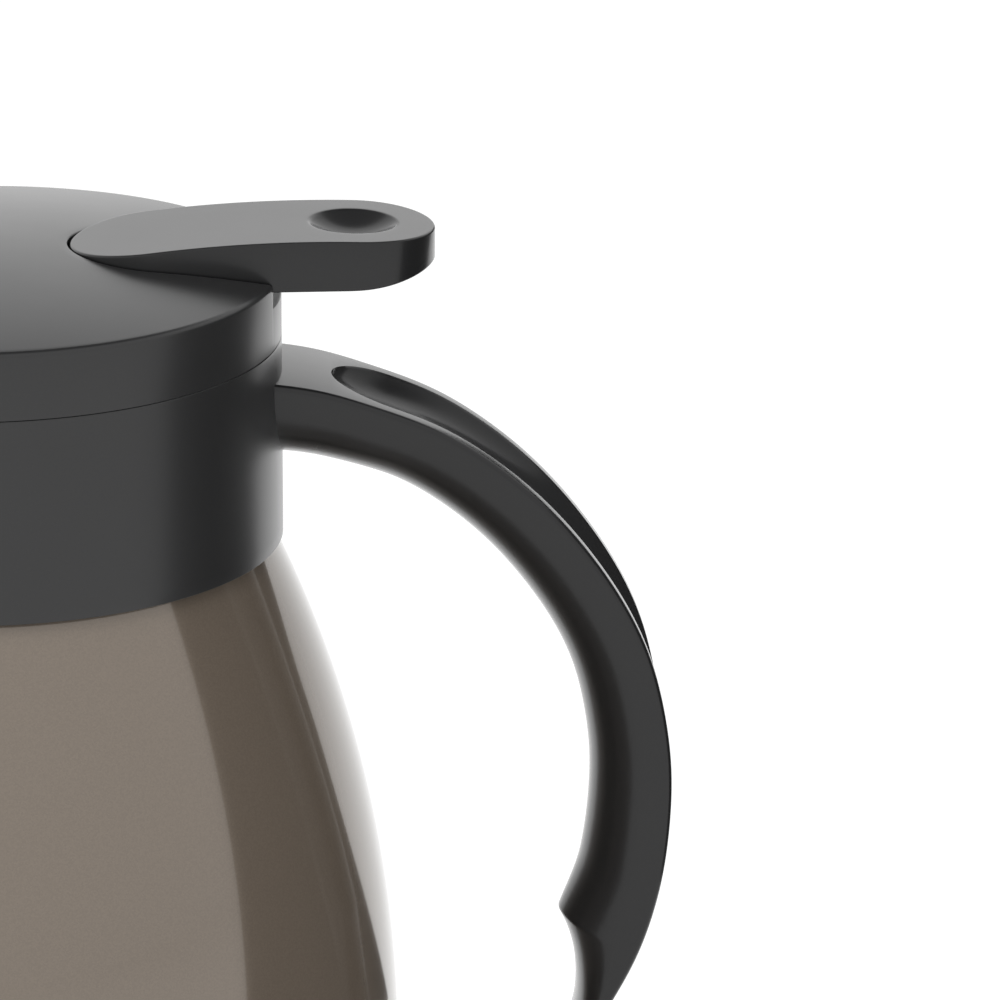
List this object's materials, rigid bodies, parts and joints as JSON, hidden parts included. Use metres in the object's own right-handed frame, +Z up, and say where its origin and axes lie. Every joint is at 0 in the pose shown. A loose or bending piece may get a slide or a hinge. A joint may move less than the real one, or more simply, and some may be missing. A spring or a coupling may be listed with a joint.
{
  "type": "thermal carafe",
  "caption": "Vacuum carafe with a steel belly, a plastic collar with an open hook handle, and a screw-in lid whose rocking thumb lever lifts the pouring valve.",
  "frame": {"origin": "centre of the base's underside, on the table", "axes": "+Z up along the body's axis, +X towards the handle and the thumb lever, -X towards the pouring lip"},
  "size_m": [0.1889, 0.1424, 0.2291],
  "materials": {
    "lacquer": "glossy metallic taupe lacquer",
    "steel": "brushed",
    "plastic": "satin dark charcoal",
    "silicone": "matte grey silicone",
    "rubber": "matte black"
  },
  "bodies": {
    "vessel": {"outer_shell": "lacquer", "inner_liner": "steel", "shell_bottom": "steel", "getter": "steel", "vacuum_plug": "steel", "foot_ring": "plastic", "foot_pad": "rubber", "collar": "plastic", "neck_insert": "plastic", "mouth_gasket": "silicone", "handle": "plastic", "handle_screw_a": "steel", "handle_screw_b": "steel"},
    "seal_ring": {"stopper_seal": "silicone"},
    "closure": {"lid_cover": "plastic", "stopper_cup": "plastic", "guide_plate": "plastic", "lid_gasket": "silicone", "lever_pin": "steel", "lid_screw_a": "steel", "lid_screw_b": "steel", "lid_screw_c": "steel", "return_spring": "steel"},
    "lever": {"thumb_lever": "plastic"},
    "valve": {"valve_stem": "plastic", "valve_disc": "plastic", "valve_seal": "silicone", "stem_clip": "steel"}
  },
  "joints": [
    {"name": "closure_lift", "type": "slide", "parent": "vessel", "child": "seal_ring", "axis": [0, 0, 1], "range_m": [0, 0.06]},
    {"name": "closure_turn", "type": "hinge", "parent": "seal_ring", "child": "closure", "pos_m": [0, 0, 0.2], "axis": [0, 0, 1], "range_deg": [0, 120]},
    {"name": "lever_press", "type": "hinge", "parent": "closure", "child": "lever", "pos_m": [0.04, 0, 0.2174], "axis": [0, 1, 0], "range_deg": [0, 10], "stiffness_Nm_per_rad": 0.58, "springref_deg": -7.79},
    {"name": "valve_lift", "type": "slide", "parent": "closure", "child": "valve", "axis": [0, 0, 1], "range_m": [0, 0.00767], "stiffness_N_per_m": 1, "springref_m": 0.0345, "deforming": ["return_spring"]}
  ],
  "couplings": [
    {"joint": "lever_press", "follows": "valve_lift", "rad_per_m": 22.727}
  ]
}
